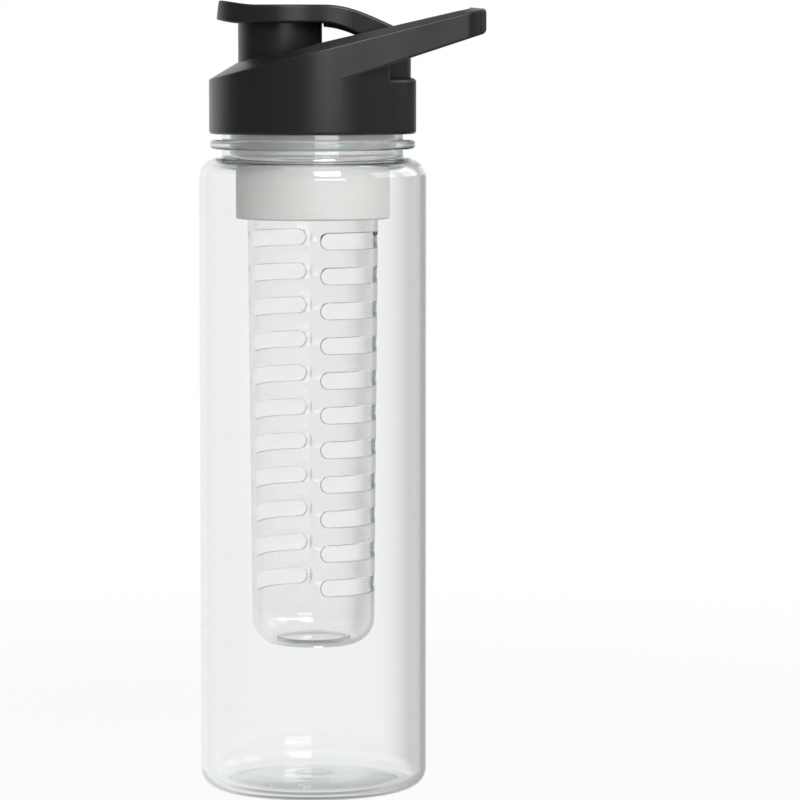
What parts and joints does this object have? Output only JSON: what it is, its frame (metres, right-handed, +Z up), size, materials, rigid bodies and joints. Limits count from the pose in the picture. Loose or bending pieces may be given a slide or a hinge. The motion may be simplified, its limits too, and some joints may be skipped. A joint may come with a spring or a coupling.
{
  "type": "fruit infuser water bottle",
  "caption": "Clear cylindrical water bottle with a screw cap, carry loop, flip lid over a drinking spout, and a slotted fruit infuser basket hanging inside from a frosted collar.",
  "frame": {"origin": "on the bottle's axis in the plane it stands on", "axes": "+Z up the bottle, +X towards the carry loop, -X towards the spout"},
  "size_m": [0.0919, 0.073, 0.2533],
  "materials": {
    "clear_bottle": "clear polished copolyester",
    "clear_basket": "clear polished copolyester",
    "frosted_collar": "frosted white polypropylene",
    "black_cap": "fine matt texture, black polypropylene",
    "black_lid": "fine matt texture, black polypropylene",
    "black_plug": "smooth black polypropylene",
    "silicone": "translucent silicone",
    "pin_steel": "drawn stainless wire"
  },
  "bodies": {
    "bottle": {"bottle_body": "clear_bottle"},
    "infuser": {"infuser_collar": "frosted_collar", "collar_gasket": "silicone"},
    "cap": {"cap_shell": "black_cap", "cap_gasket": "silicone", "hinge_pin": "pin_steel"},
    "lid": {"flip_lid": "black_lid", "lid_plug": "black_plug"},
    "basket": {"infuser_basket": "clear_basket"}
  },
  "joints": [
    {"name": "cap_lift", "type": "slide", "parent": "bottle", "child": "infuser", "axis": [0, 0, 1], "range_m": [0, 0.008]},
    {"name": "cap_turn", "type": "hinge", "parent": "infuser", "child": "cap", "pos_m": [0, 0, 0.2157], "axis": [0, 0, 1], "range_deg": [0, 720]},
    {"name": "lid_flip", "type": "hinge", "parent": "cap", "child": "lid", "pos_m": [0.025, 0, 0.24063], "axis": [0, 1, 0], "range_deg": [0, 120]},
    {"name": "basket_pull", "type": "slide", "parent": "infuser", "child": "basket", "axis": [0, 0, -1], "range_m": [0, 0.016]}
  ],
  "couplings": [
    {"joint": "cap_lift", "follows": "cap_turn", "m_per_rad": 0.00063662}
  ]
}
